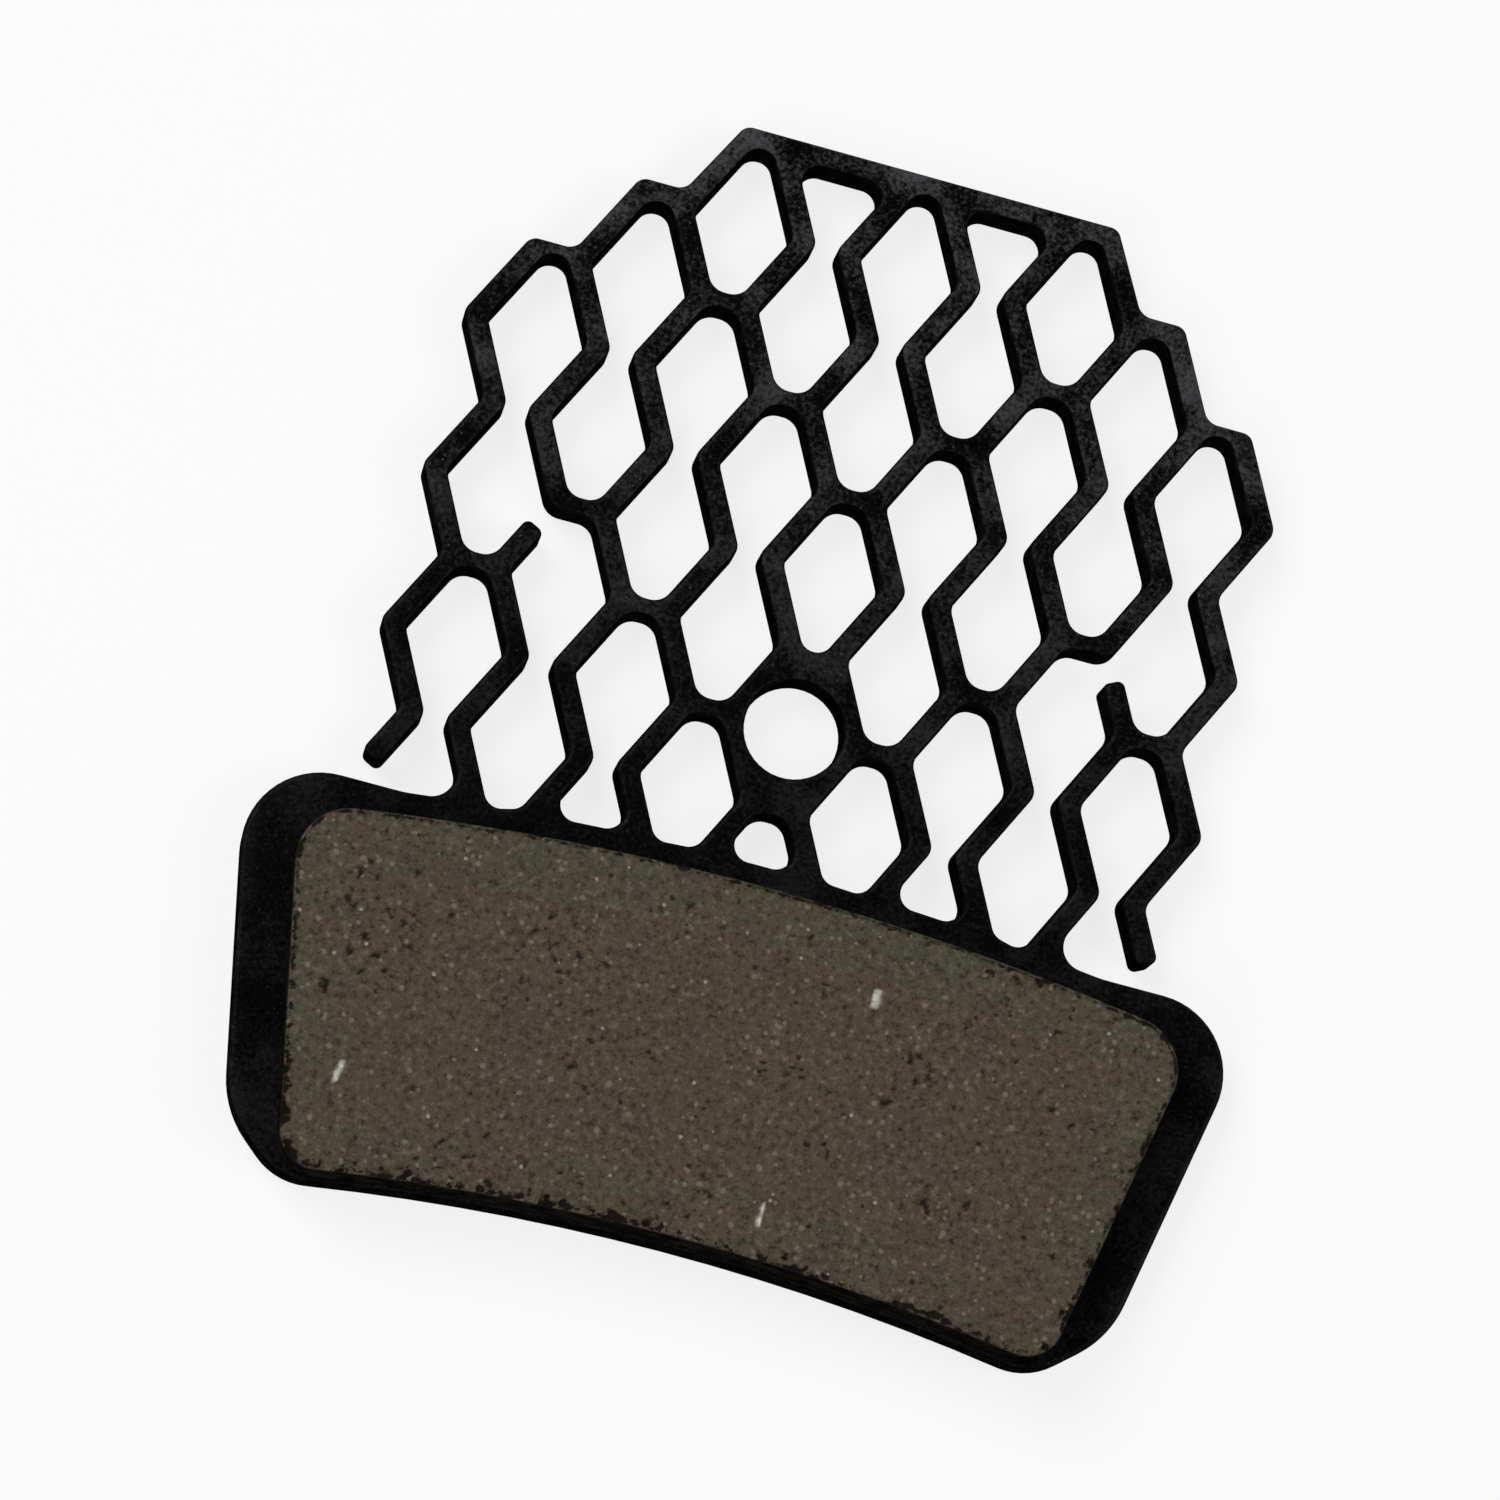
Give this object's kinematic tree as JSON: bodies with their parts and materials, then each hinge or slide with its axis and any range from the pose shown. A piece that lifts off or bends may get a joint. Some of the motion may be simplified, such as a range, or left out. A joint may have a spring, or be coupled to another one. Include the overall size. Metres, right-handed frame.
{
  "type": "bicycle disc brake pad",
  "caption": "Bicycle disc brake pad: black steel backing plate with an open lattice cooling fin and pin hole, and a bonded friction lining on its face.",
  "frame": {"origin": "on the axis of the retaining pin's hole, at the plate's back face", "axes": "+Z out of the friction face, +Y from the hole towards the fin's top bar, +X across the plate"},
  "size_m": [0.037, 0.0426, 0.004],
  "materials": {
    "plate": "black baked coat on steel, satin, finely pebbled, edges faintly glossy",
    "lining": "resin-bonded friction compound, matt grey-brown, ground flat, with pits and pale flecks"
  },
  "bodies": {
    "root": {"backing_plate": "plate", "friction_lining": "lining"}
  },
  "joints": []
}
